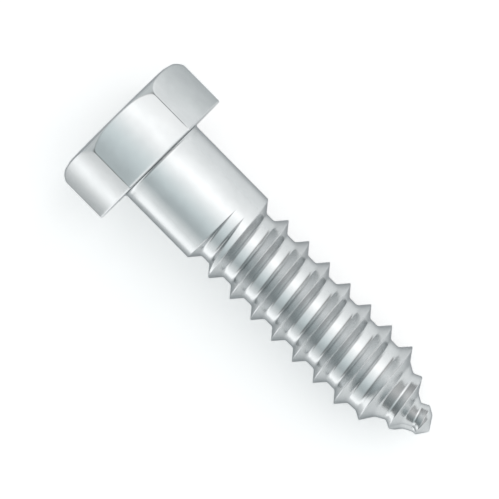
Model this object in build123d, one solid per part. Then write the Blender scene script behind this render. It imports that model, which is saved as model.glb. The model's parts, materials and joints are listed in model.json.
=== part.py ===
from build123d import *
import math
import os

# Lag screw, forged and rolled from one piece of steel wire: a hex head, a plain shank,
# a coarse wood thread that runs out into the shank, and a gimlet point.
# Sizes are in millimetres and degrees. The screw is made along +X with the bearing face
# of its head at x = 0, and is then laid down on its head and thread, as it comes to rest.

# Hex head. Its crown leaves the flat top as a shallow bevel, and then rounds over to the
# sides: the bevel spans the first part of the rounding, given as the angle that it takes up.
across_flats = 27.65
head_height = 12.0
crown_radius = 3.5
crown_flat_diameter = 25.2
crown_bevel_turn = 30.0

# Shank
shank_diameter = 18.8
length_under_head = 73.0
neck_flare = 0.6

# Point: a cone that carries the last turns of thread, and a short bare tip
point_half_angle = 30.0
shoulder_radius = 4.5
tip_base_diameter = 5.4
tip_length = 1.7
tip_end_diameter = 0.3

# Thread: a right-hand helical groove with a flat root. At the surface each turn of it runs
# into the next one by the overlap, which leaves a sharp crest between them. The bar that it
# is cut in tapers very slightly, from the shank to where the point starts.
thread_pitch = 5.644
thread_end_diameter = 18.6
point_end_pitch = 4.5
thread_depth = 2.17
root_width = 2.2
crest_overlap = 0.06

# Run-out: the groove starts on the shank with no depth, and ends so on the point.
# Angles are measured about the axis, from +Y towards +Z.
thread_start = 18.0
thread_start_angle = 69.0
run_out_angle = 111.0
end_fade_angle = 60.0

# How far the groove's cutter stands proud of the surface that it cuts
flank_margin = 0.05
outer_margin = 1.0

# How finely the helix is drawn
points_per_turn = 16

shank_radius = shank_diameter / 2
thread_end_radius = thread_end_diameter / 2
root_radius = shank_radius - thread_depth
flank_width = (thread_pitch - root_width + crest_overlap) / 2
point_slope = math.tan(math.radians(point_half_angle))

tip_start = length_under_head - tip_length
tip_base_radius = tip_base_diameter / 2
tip_end_radius = tip_end_diameter / 2
crest_cone_start = tip_start - (thread_end_radius - tip_base_radius) / point_slope
root_cone_start = length_under_head - root_radius / point_slope

# The shoulder arc between a cylinder and the cone reaches this far each way from their corner
shoulder_before = shoulder_radius * math.tan(math.radians(point_half_angle / 2))
shoulder_after = shoulder_before * math.cos(math.radians(point_half_angle))

# The shank is a true cylinder up to the start of the groove, and tapers from there
taper_start = thread_start - root_width / 2
taper_end = crest_cone_start - shoulder_before

# The pitch falls evenly from its full size where the cone starts to its least at the end
cone_length = length_under_head - crest_cone_start
pitch_loss = (1 - point_end_pitch / thread_pitch) / (2 * cone_length)


def tapered_radius(x, radius, cone_start):
    """Radius at x of a cylinder that turns into the cone through a round shoulder."""
    arc_start = cone_start - shoulder_before
    if x <= arc_start:
        return radius
    if x < cone_start + shoulder_after:
        drop = shoulder_radius - math.sqrt(shoulder_radius**2 - (x - arc_start) ** 2)
        return radius - drop
    return radius - (x - cone_start) * point_slope


def bar_radius(x):
    """Radius of the bar that the thread is cut in."""
    if x <= taper_start:
        return shank_radius
    if x <= taper_end:
        share = (x - taper_start) / (taper_end - taper_start)
        return shank_radius + share * (thread_end_radius - shank_radius)
    if x <= tip_start:
        return tapered_radius(x, thread_end_radius, crest_cone_start)
    share = min((x - tip_start) / tip_length, 1.0)
    return tip_base_radius + share * (tip_end_radius - tip_base_radius)


def groove_radius(x):
    """Radius at the bottom of the groove where it is at full depth."""
    return max(tapered_radius(x, root_radius, root_cone_start), tip_end_radius)


def crest_radius(x):
    """Radius of a full crest: a little under the bar's, where the flanks beside it meet."""
    lost_share = crest_overlap / (2 * flank_width)
    return bar_radius(x) - lost_share * (bar_radius(x) - groove_radius(x))


def shortened(x):
    """Where a place on an even helix lies once the pitch has shortened along the point."""
    past = max(x - crest_cone_start, 0.0)
    return x - pitch_loss * past**2


def groove_turn():
    """Angle that the groove turns through, from the shank to the end of the cone."""
    room = tip_start - root_width / 2 - crest_cone_start
    past = 2 * room / (1 + math.sqrt(1 - 4 * pitch_loss * room))
    return 360 * (crest_cone_start + past - thread_start) / thread_pitch


def groove_section(turned, whole_turn):
    """Corners (x, radius) of the groove's cutter after it has turned by an angle."""
    middle = thread_start + thread_pitch * turned / 360
    near_root = shortened(middle - root_width / 2)
    far_root = shortened(middle + root_width / 2)
    near_top = shortened(middle - root_width / 2 - flank_width)
    far_top = shortened(middle + root_width / 2 + flank_width)
    depth_share = min(1.0, turned / run_out_angle, (whole_turn - turned) / end_fade_angle)
    width_share = max(depth_share, 0.0)

    corners = []
    for root_x, top_x in ((near_root, near_top), (far_root, far_top)):
        surface = bar_radius(root_x)
        bottom = surface - depth_share * (surface - groove_radius(root_x))
        top = bottom + width_share * (bar_radius(top_x) - groove_radius(root_x))
        lean = (top_x - root_x) / thread_depth
        edge_x = root_x + width_share * (top_x - root_x) + lean * flank_margin
        outer = (edge_x, shank_radius + outer_margin)
        corners.append([outer, (edge_x, top + flank_margin), (root_x, bottom)])
    return corners[0] + corners[1][::-1]


def on_helix(corner, angle):
    """Point at a corner (x, radius), turned about the axis by an angle."""
    x, radius = corner
    turn = math.radians(angle)
    return Vector(x, radius * math.cos(turn), radius * math.sin(turn))


def groove_piece(stations):
    """Solid between the first and last of some cross-sections, with a strip for each side."""
    along = [float(index) for index in range(len(stations))]
    edges = [Edge.make_spline(list(points), parameters=along) for points in zip(*stations)]
    faces = [Face(Wire.make_polygon(stations[0])), Face(Wire.make_polygon(stations[-1]))]
    for edge, neighbour in zip(edges, edges[1:] + edges[:1]):
        faces.append(Face.make_surface_from_curves(edge, neighbour))
    return Solid(Shell(faces))


def make_groove():
    """Solids that cut the thread, one for each turn of the groove."""
    step = 360 / points_per_turn
    whole_turn = groove_turn()
    steps = math.ceil(whole_turn / step) + 1
    stations = []
    for index in range(steps + 1):
        turned = (index - 0.5) * whole_turn / (steps - 1)
        angle = thread_start_angle + turned
        section = groove_section(turned, whole_turn)
        stations.append([on_helix(corner, angle) for corner in section])
    starts = range(0, steps, points_per_turn)
    return [groove_piece(stations[first : first + points_per_turn + 1]) for first in starts]


def crown_point(turn):
    """Point (x, radius) of the crown's rounding, where it has turned by an angle."""
    along = 1 - math.cos(math.radians(turn))
    out = math.sin(math.radians(turn))
    return (-head_height + crown_radius * along, crown_flat_diameter / 2 + crown_radius * out)


def make_head():
    """Hexagon with two flats facing up and down, its outer end crowned about the axis."""
    hexagon = Plane.YZ * RegularPolygon(across_flats / 2, 6, major_radius=False)
    top = crown_point(0)
    bevel_end = crown_point(crown_bevel_turn)
    side = crown_point(90)
    outline = [
        Line((-head_height, 0), top),
        Line(top, bevel_end),
        ThreePointArc(bevel_end, crown_point((crown_bevel_turn + 90) / 2), side),
        Line(side, (0, side[1])),
        Line((0, side[1]), (0, 0)),
        Line((0, 0), (-head_height, 0)),
    ]
    crown = revolve(make_face(outline), Axis.X)
    return extrude(hexagon, -head_height) & crown


def make_bar():
    """Round bar from inside the head to the tip, flared where it leaves the head."""
    root = -head_height / 2
    flare = shank_radius + neck_flare
    arc_end = crest_cone_start + shoulder_after
    arc_middle = (taper_end + arc_end) / 2
    outline = [
        Line((root, 0), (root, flare)),
        Line((root, flare), (0, flare)),
        Line((0, flare), (neck_flare, shank_radius)),
        Line((neck_flare, shank_radius), (taper_start, shank_radius)),
        Line((taper_start, shank_radius), (taper_end, thread_end_radius)),
        ThreePointArc(
            (taper_end, thread_end_radius),
            (arc_middle, bar_radius(arc_middle)),
            (arc_end, bar_radius(arc_end)),
        ),
        Line((arc_end, bar_radius(arc_end)), (tip_start, tip_base_radius)),
        Line((tip_start, tip_base_radius), (length_under_head, tip_end_radius)),
        Line((length_under_head, tip_end_radius), (length_under_head, 0)),
        Line((length_under_head, 0), (root, 0)),
    ]
    return revolve(make_face(outline), Axis.X)


def rest_tilt():
    """Angle, tip down, at which the edge under the head and one crest touch the floor."""
    first_turn = (270 - thread_start_angle) % 360 / 360
    crest = thread_start + thread_pitch * (first_turn + 0.5)
    slopes = []
    while shortened(crest) < tip_start:
        x = shortened(crest)
        slopes.append((across_flats / 2 - crest_radius(x)) / x)
        crest += thread_pitch
    return math.degrees(math.atan(min(slopes)))


def laid_down(screw):
    """The screw at rest on the floor at z = 0, with its middle over the origin."""
    screw = Rot(0, rest_tilt(), 0) * screw
    box = screw.bounding_box()
    return Pos(-(box.min.X + box.max.X) / 2, 0, -box.min.Z) * screw


# Turns next to each other overlap, so every other one is cut first, and then the rest
groove = make_groove()
threaded_bar = make_bar() - groove[0::2] - groove[1::2]

os.makedirs("parts", exist_ok=True)
lag_screw = laid_down(make_head() + threaded_bar)
export_step(lag_screw, "parts/lag_screw.step")
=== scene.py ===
import json
import math

import bmesh
import bpy
from mathutils import Matrix, Vector


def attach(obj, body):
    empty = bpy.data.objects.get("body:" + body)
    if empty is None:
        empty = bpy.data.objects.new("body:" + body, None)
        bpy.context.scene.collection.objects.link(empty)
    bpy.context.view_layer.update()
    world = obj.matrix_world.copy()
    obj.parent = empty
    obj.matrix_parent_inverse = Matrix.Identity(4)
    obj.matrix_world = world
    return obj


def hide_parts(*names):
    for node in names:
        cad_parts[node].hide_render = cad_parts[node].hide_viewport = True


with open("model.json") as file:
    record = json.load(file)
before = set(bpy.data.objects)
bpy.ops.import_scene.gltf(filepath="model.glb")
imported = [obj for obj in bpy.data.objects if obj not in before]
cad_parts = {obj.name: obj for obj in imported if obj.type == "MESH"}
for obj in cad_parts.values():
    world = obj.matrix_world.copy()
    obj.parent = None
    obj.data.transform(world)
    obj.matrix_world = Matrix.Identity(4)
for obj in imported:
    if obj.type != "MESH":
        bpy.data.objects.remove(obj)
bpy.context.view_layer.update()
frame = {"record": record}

# Sizes of the screw in millimetres and degrees, measured along its own axis from the
# bearing face of the head, with the point towards +X. They are the CAD model's sizes.
across_flats = 27.65
head_height = 12.0
crown_radius = 3.5
crown_flat_radius = 12.6
crown_bevel_turn = 30.0
shank_radius = 9.4
length_under_head = 73.0
neck_radius = 0.6
point_half_angle = 30.0
shoulder_radius = 4.5
tip_base_radius = 2.7
tip_length = 1.7
tip_end_radius = 0.15
thread_pitch = 5.644
thread_end_radius = 9.3
point_end_pitch = 4.5
thread_depth = 2.17
root_width = 2.2
crest_overlap = 0.06
thread_start = 18.0
thread_start_angle = 69.0
run_out_angle = 111.0
end_fade_angle = 60.0

# Roundings that forging and rolling leave on the edges. A reach is how far a rounding starts
# from its edge, and it takes up no more than a share of the stretch beside it.
corner_radius = 0.45
rim_reach = 0.28
crown_edge_reach = 0.3
crest_half_width = 0.05
crest_reach = 0.08
root_reach = 0.4
tip_reach = 0.2
most_rounded = 0.45

# How finely the surface is drawn round the axis: the angle between the corners of the head,
# the one between two lines over the screw, and how far extra lines are from each corner
corner_spacing = 60
column_step = 4.0
corner_columns = (0.3, 0.6, 0.9, 1.4)

# How finely it is drawn along a line: steps in each rounding, and places between the roundings
edge_steps = 3
crown_steps = 8
neck_steps = 5
top_radii = (0, 3, 6, 9, 11.5, 12.3)
side_shares = (0.08, 0.3, 0.55, 0.8, 0.94)
underside_shares = (0.12, 0.4, 0.75, 0.95)
shank_places = (1.0, 4.0, 8.0, 12.0, 15.0, 16.2)
groove_lead = 0.2
point_shares = (0.05, 0.35, 0.65, 0.92)
tip_shares = (0.1, 0.4, 0.7, 0.93)

# How far beside a rounding of the thread the points lie that hold it in its place, and the
# most of a stretch that this may be
corner_support = 0.25
most_support = 0.35

# Lengths too short to count, and the distance at which points are one
tiny = 1e-6
joining_distance = 0.0001

millimetre = 0.001

root_radius = shank_radius - thread_depth
flank_width = (thread_pitch - root_width + crest_overlap) / 2
point_slope = math.tan(math.radians(point_half_angle))
tip_start = length_under_head - tip_length
crest_cone_start = tip_start - (thread_end_radius - tip_base_radius) / point_slope
root_cone_start = length_under_head - root_radius / point_slope
shoulder_before = shoulder_radius * math.tan(math.radians(point_half_angle / 2))
shoulder_after = shoulder_before * math.cos(math.radians(point_half_angle))
taper_start = thread_start - root_width / 2
taper_end = crest_cone_start - shoulder_before
cone_length = length_under_head - crest_cone_start
pitch_loss = (1 - point_end_pitch / thread_pitch) / (2 * cone_length)
tip_slope = (tip_base_radius - tip_end_radius) / tip_length
tip_corner = (tip_start, tip_base_radius)
tip_end = (length_under_head, tip_end_radius)


# Place of the screw: its axis and its bearing face come from the record's mounts

def mount(name):
    """The record's mount of that name."""
    return next(entry for entry in frame["record"]["mounts"] if entry["name"] == name)


axis = Vector(mount("shank")["axis"]).normalized()
across = Vector((0, 1, 0))
upward = axis.cross(across).normalized()
bearing = Vector(mount("bearing_face")["pos_m"])
bearing.y = 0.0
to_world = Matrix.Translation(bearing) @ Matrix((axis, across, upward)).transposed().to_4x4()


# Form of the thread, as in the CAD model apart from where its last flank ends

def tapered_radius(x, radius, cone_start):
    """Radius at x of a cylinder that turns into the cone through a round shoulder."""
    arc_start = cone_start - shoulder_before
    if x <= arc_start:
        return radius
    if x < cone_start + shoulder_after:
        return radius - shoulder_radius + math.sqrt(shoulder_radius**2 - (x - arc_start) ** 2)
    return radius - (x - cone_start) * point_slope


def bar_radius(x):
    """Radius of the bar that the thread is cut in."""
    if x <= taper_start:
        return shank_radius
    if x <= taper_end:
        share = (x - taper_start) / (taper_end - taper_start)
        return shank_radius + share * (thread_end_radius - shank_radius)
    if x <= tip_start:
        return tapered_radius(x, thread_end_radius, crest_cone_start)
    share = min((x - tip_start) / tip_length, 1.0)
    return tip_base_radius + share * (tip_end_radius - tip_base_radius)


def groove_radius(x):
    """Radius at the bottom of the groove where it is at full depth."""
    return max(tapered_radius(x, root_radius, root_cone_start), tip_end_radius)


def shortened(x):
    """Where a place on an even helix lies once the pitch has shortened along the point."""
    past = max(x - crest_cone_start, 0.0)
    return x - pitch_loss * past**2


def groove_turn():
    """Angle that the groove turns through, from the shank to the end of the cone."""
    room = tip_start - root_width / 2 - crest_cone_start
    past = 2 * room / (1 + math.sqrt(1 - 4 * pitch_loss * room))
    return 360 * (crest_cone_start + past - thread_start) / thread_pitch


whole_turn = groove_turn()


def groove_corners(turned):
    """Corners (x, radius) of the groove: near top, near root, far root and far top."""
    middle = thread_start + thread_pitch * turned / 360
    share = min(1.0, turned / run_out_angle, (whole_turn - turned) / end_fade_angle)
    share = max(share, 0.0)
    sides = []
    for way in (-1, 1):
        root_x = shortened(middle + way * root_width / 2)
        top_x = shortened(middle + way * (root_width / 2 + flank_width))
        surface = bar_radius(root_x)
        bottom = surface - share * (surface - groove_radius(root_x))
        edge_x = root_x + share * (top_x - root_x)
        edge = bottom + share * (bar_radius(top_x) - groove_radius(root_x))
        sides.append([(edge_x, edge), (root_x, bottom)])
    return sides[0] + sides[1][::-1]


def between(start, end, share):
    """Point at a share of the way between two."""
    return tuple(first + share * (last - first) for first, last in zip(start, end))


def share_of_reach(start, end, reach, most):
    """Share of the way between two points that a reach takes up, if it isn't past the most."""
    span = math.dist(start, end)
    return min(reach / span, most) if span > tiny else most


def crest_edges(before, after):
    """Edges of the crest between two turns of the groove, given by their corners."""
    middle = (before[3][0] + after[0][0]) / 2
    edges = []
    for root, top, way in ((before[2], before[3], -1), (after[1], after[0], 1)):
        span = top[0] - root[0]
        reach = middle + way * crest_half_width - root[0]
        share = 1.0 if abs(span) < tiny else min(reach / span, 1.0)
        edges.append(between(root, top, share))
    return edges


def last_flank_end(root, top):
    """Where the last flank's line meets the bar, which turns a corner where the tip starts."""
    span = top[0] - root[0]
    if span < tiny:
        return top
    slope = (top[1] - root[1]) / span
    at_corner = top[1] + slope * (tip_start - top[0])
    fall = point_slope if at_corner > tip_base_radius else tip_slope
    gap = tip_base_radius + fall * (tip_start - top[0]) - top[1]
    x = top[0] + gap / (slope + fall)
    return (x, top[1] + slope * (x - top[0]))


# Lines across the surface, from the middle of the head to the tip

def rounded_corner(before, corner, after, reach):
    """Points round a corner, along a curve that starts and ends at most a reach from it."""
    ends = []
    for other in (before, after):
        share = share_of_reach(corner, other, reach, most_rounded)
        ends.append(between(corner, other, share))
    points = []
    for step in range(edge_steps + 1):
        share = step / edge_steps
        first = between(ends[0], corner, share)
        last = between(corner, ends[1], share)
        points.append(between(first, last, share))
    return points


def hexagon_radius(azimuth):
    """Radius of the head's side at an azimuth, with its corners rounded."""
    half_side = corner_spacing / 2
    turn = math.radians(abs((azimuth + half_side) % corner_spacing - half_side))
    lean = math.radians(half_side)
    middle = (across_flats / 2 - corner_radius) / math.cos(lean)
    rounded = math.atan2(corner_radius * math.sin(lean), middle + corner_radius * math.cos(lean))
    if turn < rounded:
        offset = middle * math.sin(turn)
        return middle * math.cos(turn) + math.sqrt(corner_radius**2 - offset**2)
    return across_flats / 2 / math.cos(lean - turn)


def crown_x(radius):
    """Where the crown lies along the axis, at a radius outside the flat top."""
    bevel_turn = math.radians(crown_bevel_turn)
    out = (radius - crown_flat_radius) / crown_radius
    if out <= math.sin(bevel_turn):
        along = (1 - math.cos(bevel_turn)) * out / math.sin(bevel_turn)
    else:
        along = 1 - math.sqrt(1 - out**2)
    return along * crown_radius - head_height


def head_line(azimuth):
    """Points over the head at an azimuth, from the middle of its top to the shank."""
    side = hexagon_radius(azimuth)
    points = [(-head_height, radius) for radius in top_radii]
    whole_arc = math.asin((side - crown_flat_radius) / crown_radius)
    arc = []
    for step in range(crown_steps + 1):
        radius = crown_flat_radius + crown_radius * math.sin(whole_arc * step / crown_steps)
        arc.append((crown_x(radius), radius))
    edge = arc[-1]
    rim = (0.0, side)
    neck = (0.0, shank_radius + neck_radius)
    points += arc[:-2]
    points += rounded_corner(arc[-2], edge, rim, crown_edge_reach)
    points += [between(edge, rim, share) for share in side_shares]
    points += rounded_corner(edge, rim, neck, rim_reach)
    points += [between(rim, neck, share) for share in underside_shares]
    for step in range(neck_steps + 1):
        turn = math.radians(90 * step / neck_steps)
        x = neck_radius - neck_radius * math.cos(turn)
        points.append((x, neck[1] - neck_radius * math.sin(turn)))
    points += [(x, shank_radius) for x in shank_places]
    points.append((taper_start - groove_lead, shank_radius))
    return points


def thread_line(turned):
    """Points across one groove and the crest after it, when it has turned by an angle."""
    corners = groove_corners(turned)
    start = crest_edges(groove_corners(turned - 360), corners)
    end = crest_edges(corners, groove_corners(turned + 360))
    # No crest follows the last turn: its far flank ends on the bar, which goes on to the tip
    if turned < whole_turn <= turned + 360:
        end[0] = last_flank_end(corners[2], end[0])
        end[1] = tip_corner if end[0][0] < tip_start - corner_support else end[0]
    path = start + corners[1:3] + end
    reaches = (crest_reach, root_reach, root_reach, crest_reach)
    curves = [rounded_corner(*path[at : at + 3], reach) for at, reach in enumerate(reaches)]
    stretch_ends = [curve[0] for curve in curves[1:]]
    share = share_of_reach(end[1], end[0], crest_reach, most_rounded)
    stretch_ends.append(between(end[1], end[0], share))
    points = []
    for curve, after in zip(curves, stretch_ends):
        near = share_of_reach(curve[-1], after, corner_support, most_support)
        points += curve
        points += [between(curve[-1], after, share) for share in (near, 1 - near)]
    return points


def held(point, last, turned):
    """A point of the thread, kept off the plain shank, and off the tip past the groove's end."""
    x = point[0]
    if turned >= whole_turn:
        x = min(x, tip_start - corner_support)
        return (x, bar_radius(x)) if x > last[0] else last
    return point if x > last[0] or x > thread_start else last


def tip_line(last):
    """Points over the bare point, from the last one of the thread to the very tip."""
    corner = tip_corner if last[0] < tip_start else last
    curve = rounded_corner(last, corner, tip_end, tip_reach)
    points = [between(last, curve[0], share) for share in point_shares]
    points += curve
    points += [between(curve[-1], tip_end, share) for share in tip_shares]
    return points + [tip_end, (length_under_head, 0.0)]


def surface_line(azimuth):
    """Points (x, radius) of the whole surface at an azimuth from 0 to 360 degrees."""
    points = head_line(azimuth)
    # From the turn before the groove's start to the one after its end
    for turn in range(-1, math.ceil(whole_turn / 360) + 1):
        turned = azimuth - thread_start_angle + 360 * turn
        for point in thread_line(turned):
            points.append(held(point, points[-1], turned))
    return points + tip_line(points[-1])


def column_azimuths():
    """Azimuths of the lines, closer together at the six corners of the head."""
    steps = round(corner_spacing / column_step)
    azimuths = []
    for corner in range(0, 361, corner_spacing):
        azimuths += [corner + way * turn for turn in corner_columns for way in (-1, 1)]
        azimuths += [corner + column_step * step for step in range(steps)]
    return sorted(azimuth for azimuth in azimuths if 0 <= azimuth <= 360)


def make_screw():
    """The whole screw as one closed mesh."""
    mesh = bmesh.new()
    columns = []
    for azimuth in column_azimuths():
        turn = math.radians(azimuth)
        column = []
        for x, radius in surface_line(azimuth):
            point = Vector((x, radius * math.cos(turn), radius * math.sin(turn)))
            column.append(mesh.verts.new(point))
        columns.append(column)
    for left, right in zip(columns, columns[1:]):
        for index in range(len(left) - 1):
            mesh.faces.new((left[index], left[index + 1], right[index + 1], right[index]))
    # The last column lies on the first, so points that share a place become one
    bmesh.ops.remove_doubles(mesh, verts=mesh.verts, dist=joining_distance)
    bmesh.ops.dissolve_degenerate(mesh, edges=mesh.edges, dist=joining_distance)
    bmesh.ops.recalc_face_normals(mesh, faces=mesh.faces)
    open_edges = [edge for edge in mesh.edges if not edge.is_manifold]
    print("screw faces", len(mesh.faces), "open edges", len(open_edges))
    mesh.transform(to_world @ Matrix.Scale(millimetre, 4))
    data = bpy.data.meshes.new("screw_body")
    mesh.to_mesh(data)
    mesh.free()
    data.polygons.foreach_set("use_smooth", [True] * len(data.polygons))
    screw = bpy.data.objects.new("screw_body", data)
    bpy.context.scene.collection.objects.link(screw)
    return screw


# Materials

def node(tree, kind, **sockets):
    """New shader node with values set on its sockets."""
    made = tree.nodes.new(kind)
    for name, value in sockets.items():
        made.inputs[name].default_value = value
    return made


def ramp(tree, stops):
    """New colour ramp through some (position, colour) stops."""
    made = tree.nodes.new("ShaderNodeValToRGB")
    elements = made.color_ramp.elements
    elements.remove(elements[1])
    elements[0].position = stops[0][0]
    elements[0].color = list(stops[0][1]) + [1]
    for position, color in stops[1:]:
        elements.new(position).color = list(color) + [1]
    return made


def math_node(tree, operation, first, second):
    """Output of a new math node that works on two outputs."""
    made = tree.nodes.new("ShaderNodeMath")
    made.operation = operation
    tree.links.new(first, made.inputs[0])
    tree.links.new(second, made.inputs[1])
    return made.outputs[0]


def mapped(tree, value, start, end, new_start=0.0, new_end=1.0):
    """Output that goes from one new value to the other as a value goes from start to end."""
    made = tree.nodes.new("ShaderNodeMapRange")
    made.inputs["From Min"].default_value = start
    made.inputs["From Max"].default_value = end
    made.inputs["To Min"].default_value = new_start
    made.inputs["To Max"].default_value = new_end
    tree.links.new(value, made.inputs["Value"])
    return made.outputs["Result"]


def new_material(name):
    """New material without nodes."""
    material = bpy.data.materials.new(name)
    material.use_nodes = True
    material.node_tree.nodes.clear()
    return material


def show(tree, shader):
    """Make a shader's output the material's surface."""
    out = tree.nodes.new("ShaderNodeOutputMaterial")
    tree.links.new(shader, out.inputs["Surface"])


# Zinc plate: its darkest and lightest colour, its tint towards the rim, and its least and
# greatest roughness. The noise that runs between them keeps mostly to the middle of its range.
zinc_dark = (0.58, 0.595, 0.60)
zinc_light = (0.64, 0.655, 0.66)
zinc_rim = (0.38, 0.40, 0.41, 1)
zinc_smooth = 0.19
zinc_rough = 0.25
noise_low = 0.3
noise_high = 0.7


def zinc_plate():
    """Bright zinc plate: cool grey metal, faintly mottled, with a fine grain."""
    material = new_material("zinc_plate")
    tree = material.node_tree
    link = tree.links.new
    place = tree.nodes.new("ShaderNodeTexCoord")

    cloud = node(tree, "ShaderNodeTexNoise", Scale=160.0, Detail=4.0, Roughness=0.6)
    link(place.outputs["Object"], cloud.inputs["Vector"])
    tint = ramp(tree, [(noise_low, zinc_dark), (noise_high, zinc_light)])
    link(cloud.outputs["Fac"], tint.inputs["Fac"])

    grain = node(tree, "ShaderNodeTexNoise", Scale=5200.0, Detail=3.0, Roughness=0.55)
    link(place.outputs["Object"], grain.inputs["Vector"])
    fleck = grain.outputs["Fac"]
    roughness = mapped(tree, fleck, noise_low, noise_high, zinc_smooth, zinc_rough)
    bump = node(tree, "ShaderNodeBump", Strength=0.04, Distance=0.00003)
    link(fleck, bump.inputs["Height"])

    shader = node(tree, "ShaderNodeBsdfPrincipled", Metallic=1.0)
    shader.inputs["Specular Tint"].default_value = zinc_rim
    link(tint.outputs["Color"], shader.inputs["Base Color"])
    link(roughness, shader.inputs["Roughness"])
    link(bump.outputs["Normal"], shader.inputs["Normal"])
    show(tree, shader.outputs["BSDF"])
    return material


# Floor, lights and camera

# The floor in metres, the share of light that its paper gives back, and the glow that brings
# it to white where it is looked at
floor_size = 6.0
paper_white = 0.86
paper_glow = 0.36


def white_floor():
    """White paper: it shows white to the camera and in the metal, and keeps the shadow."""
    material = new_material("floor_paper")
    tree = material.node_tree
    paper = node(tree, "ShaderNodeBsdfDiffuse", Color=(paper_white, paper_white, paper_white, 1))
    rays = tree.nodes.new("ShaderNodeLightPath").outputs
    seen = math_node(tree, "MAXIMUM", rays["Is Camera Ray"], rays["Is Glossy Ray"])
    seen = math_node(tree, "MAXIMUM", seen, rays["Is Transmission Ray"])
    glow = node(tree, "ShaderNodeEmission", Color=(1, 1, 1, 1))
    tree.links.new(mapped(tree, seen, 0.0, 1.0, 0.0, paper_glow), glow.inputs["Strength"])
    both = tree.nodes.new("ShaderNodeAddShader")
    tree.links.new(paper.outputs["BSDF"], both.inputs[0])
    tree.links.new(glow.outputs["Emission"], both.inputs[1])
    show(tree, both.outputs["Shader"])
    return material


def make_floor():
    """Wide flat floor at z = 0."""
    bpy.ops.mesh.primitive_plane_add(size=floor_size, location=(0, 0, 0))
    floor = bpy.context.object
    floor.name = "floor"
    floor.data.materials.append(white_floor())


# Strength of the studio round the screw's axis, by the angle from straight up towards +Y, and
# how cool its colour is there. A dark cool band on the -Y side and a bright one on the other
# give the shank its form.
sky_profile = (
    (-180, 1.00, 0.2),
    (-95, 1.15, 0.2),
    (-80, 0.95, 0.4),
    (-62, 0.62, 1.0),
    (-50, 0.68, 1.0),
    (-28, 0.95, 0.9),
    (-10, 1.15, 0.5),
    (10, 1.45, 0.1),
    (26, 1.72, 0.0),
    (40, 1.52, 0.0),
    (60, 1.28, 0.1),
    (90, 1.08, 0.2),
    (180, 1.00, 0.2),
)
cool_tint = (0.90, 1.0, 1.02)
sky_strength = 1.05

# The same along the axis: the studio is darker beyond the head and beyond the point, so that
# the flanks of the thread and the edges across the screw stand out
end_profile = (
    (-1, 0.7),
    (-0.8, 0.55),
    (-0.6, 0.3),
    (-0.4, 0.42),
    (-0.15, 0.97),
    (0.15, 1.0),
    (0.4, 0.9),
    (0.6, 0.45),
    (1, 0.4),
)


def tinted(light, cool):
    """Colour of a light, cooler by a share."""
    return [light * (1 + (part - 1) * cool) for part in cool_tint]


def make_world():
    """Soft studio sky that changes round the screw's axis and along it."""
    world = bpy.data.worlds.new("studio")
    bpy.context.scene.world = world
    world.use_nodes = True
    tree = world.node_tree
    tree.nodes.clear()
    link = tree.links.new
    direction = tree.nodes.new("ShaderNodeTexCoord").outputs["Generated"]
    parts = []
    for way in (across, upward, axis):
        part = tree.nodes.new("ShaderNodeVectorMath")
        part.operation = "DOT_PRODUCT"
        part.inputs[1].default_value = way
        link(direction, part.inputs[0])
        parts.append(part.outputs["Value"])
    to_side, to_top, to_point = parts

    turn = math_node(tree, "ARCTAN2", to_side, to_top)
    stops = [((angle + 180) / 360, tinted(light, cool)) for angle, light, cool in sky_profile]
    sky = ramp(tree, stops)
    link(mapped(tree, turn, -math.pi, math.pi), sky.inputs["Fac"])
    ends = ramp(tree, [((along + 1) / 2, [light] * 3) for along, light in end_profile])
    link(mapped(tree, to_point, -1.0, 1.0), ends.inputs["Fac"])
    both = tree.nodes.new("ShaderNodeVectorMath")
    both.operation = "MULTIPLY"
    link(sky.outputs["Color"], both.inputs[0])
    link(ends.outputs["Color"], both.inputs[1])
    back = node(tree, "ShaderNodeBackground", Strength=sky_strength)
    link(both.outputs["Vector"], back.inputs["Color"])
    out = tree.nodes.new("ShaderNodeOutputWorld")
    link(back.outputs["Background"], out.inputs["Surface"])


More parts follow.
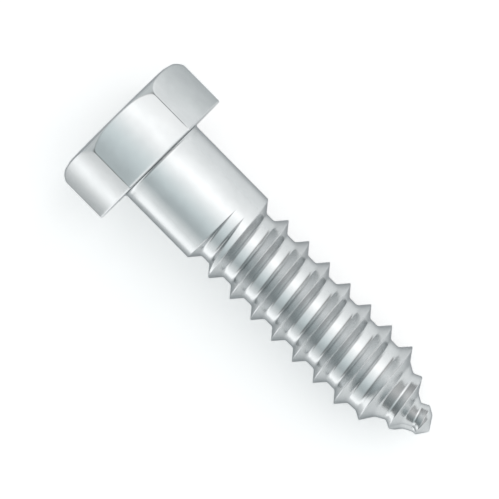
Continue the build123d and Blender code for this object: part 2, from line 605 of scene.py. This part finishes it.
# Cards that only the metal's reflections show. Round the head, one above, one on each side
# and one at its end give its flat faces a gradient, and two dark flags draw its long edges.
# The low card beside the shank and the thread brightens their rim on that side.
# Each card has a middle and a size in millimetres from the bearing face, the ways along it and
# up it, and its light with the coolness of it by the place up it. For each millimetre outwards,
# the flags fall by their lean.
flag_lean = 1.3
cards = {
    "card_top": {
        "middle": (-8.9, 1.0, 21.0),
        "size": (18.0, 26.0),
        "ways": (axis, across),
        "light": (
            (-12, 0.70, 1.0),
            (-6.5, 0.66, 1.0),
            (-4.2, 0.86, 1.0),
            (-1.9, 1.05, 0.8),
            (0, 1.22, 0.3),
            (1.6, 1.4, 0.0),
            (2.9, 1.65, 0.0),
            (4.3, 1.52, 0.0),
            (7.3, 1.32, 0.0),
            (14, 1.1, 0.0),
        ),
    },
    "card_left": {
        "middle": (-11.0, -24.0, 0.0),
        "size": (23.0, 22.0),
        "ways": (axis, upward),
        "light": (
            (-11, 0.68, 0.4),
            (-4, 0.68, 0.4),
            (-2, 0.98, 0.2),
            (0.2, 2.3, 0.0),
            (2, 1.25, 0.0),
            (4, 0.95, 0.2),
            (11, 0.9, 0.2),
        ),
    },
    "card_right": {
        "middle": (-11.0, 24.0, 0.0),
        "size": (23.0, 22.0),
        "ways": (axis, upward),
        "light": (
            (-11, 0.68, 0.6),
            (-4, 0.74, 0.5),
            (0, 1.04, 0.3),
            (4, 1.28, 0.1),
            (11, 1.35, 0.1),
        ),
    },
    "flag_left": {
        "middle": (-9.9, -19.0, 22.0),
        "size": (17.4, 10.0),
        "ways": (axis, (across + upward * flag_lean).normalized()),
        "light": ((-5, 0.2, 0.5), (5, 0.2, 0.5)),
    },
    "flag_right": {
        "middle": (-9.9, 19.0, 22.0),
        "size": (17.4, 10.0),
        "ways": (axis, (across - upward * flag_lean).normalized()),
        "light": ((-5, 0.2, 0.5), (5, 0.2, 0.5)),
    },
    "card_low": {
        "middle": (38.0, -30.0, -3.5),
        "size": (74.0, 19.0),
        "ways": (axis, upward),
        "light": (
            (-9.5, 1.65, 0.1),
            (-3.5, 1.75, 0.1),
            (1.5, 1.6, 0.1),
            (6, 1.35, 0.2),
            (9.5, 1.1, 0.3),
        ),
    },
    "card_end": {
        "middle": (-32.0, 0.0, 2.0),
        "size": (90.0, 30.0),
        "ways": (across, upward),
        "light": ((-15, 1.0, 0.4), (0, 0.9, 0.4), (15, 0.78, 0.5)),
    },
}


def card_glow(name, light):
    """Glow that changes along the card's own Y, which is 0 at its middle."""
    material = new_material(name)
    tree = material.node_tree
    place = tree.nodes.new("ShaderNodeTexCoord")
    parts = tree.nodes.new("ShaderNodeSeparateXYZ")
    tree.links.new(place.outputs["Object"], parts.inputs["Vector"])
    low = light[0][0]
    high = light[-1][0]
    half = (high - low) / 2 * millimetre
    fade = ramp(tree, [((at - low) / (high - low), tinted(*tone)) for at, *tone in light])
    tree.links.new(mapped(tree, parts.outputs["Y"], -half, half), fade.inputs["Fac"])
    glow = node(tree, "ShaderNodeEmission", Strength=1.0)
    tree.links.new(fade.outputs["Color"], glow.inputs["Color"])
    show(tree, glow.outputs["Emission"])
    return material


def make_card(name, middle, size, ways, light):
    """One card, which only the metal's reflections show."""
    length, width = [part * millimetre / 2 for part in size]
    corners = [(-length, -width, 0), (length, -width, 0), (length, width, 0), (-length, width, 0)]
    data = bpy.data.meshes.new(name)
    data.from_pydata(corners, [], [(0, 1, 2, 3)])
    data.materials.append(card_glow(name, light))
    card = bpy.data.objects.new(name, data)
    bpy.context.scene.collection.objects.link(card)
    turned = Matrix((*ways, ways[0].cross(ways[1]))).transposed().to_4x4()
    card.matrix_world = Matrix.Translation(to_world @ (Vector(middle) * millimetre)) @ turned
    card.visible_camera = False
    card.visible_diffuse = False
    card.visible_shadow = False


def make_camera():
    """Camera with a long lens, at a right angle to the screw's axis and over the upper flat."""
    # The drawing's scale and width, how far the screw's axis is turned in it, and where the
    # drawing's middle lies on the screw
    pixel = 0.1913 * millimetre
    frame_width = 499
    axis_turn = math.radians(45.39)
    centre_along = 24.13 * millimetre
    centre_across = 0.05 * millimetre
    data = bpy.data.cameras.new("camera")
    data.lens = 1000.0
    distance = frame_width * pixel * data.lens / data.sensor_width
    camera = bpy.data.objects.new("camera", data)
    bpy.context.scene.collection.objects.link(camera)
    right = axis * math.cos(axis_turn) + across * math.sin(axis_turn)
    up = -axis * math.sin(axis_turn) + across * math.cos(axis_turn)
    turned = Matrix((right, up, upward)).transposed().to_4x4()
    middle = bearing + axis * centre_along + across * centre_across
    camera.matrix_world = Matrix.Translation(middle + upward * distance) @ turned
    data.clip_start = 0.01
    data.clip_end = 10.0
    bpy.context.scene.camera = camera


bpy.context.scene.view_settings.view_transform = "Standard"

screw = make_screw()
screw.data.materials.append(zinc_plate())
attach(screw, "root")
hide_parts("lag_screw")

make_floor()
make_world()
for name, card in cards.items():
    make_card(name, **card)
make_camera()
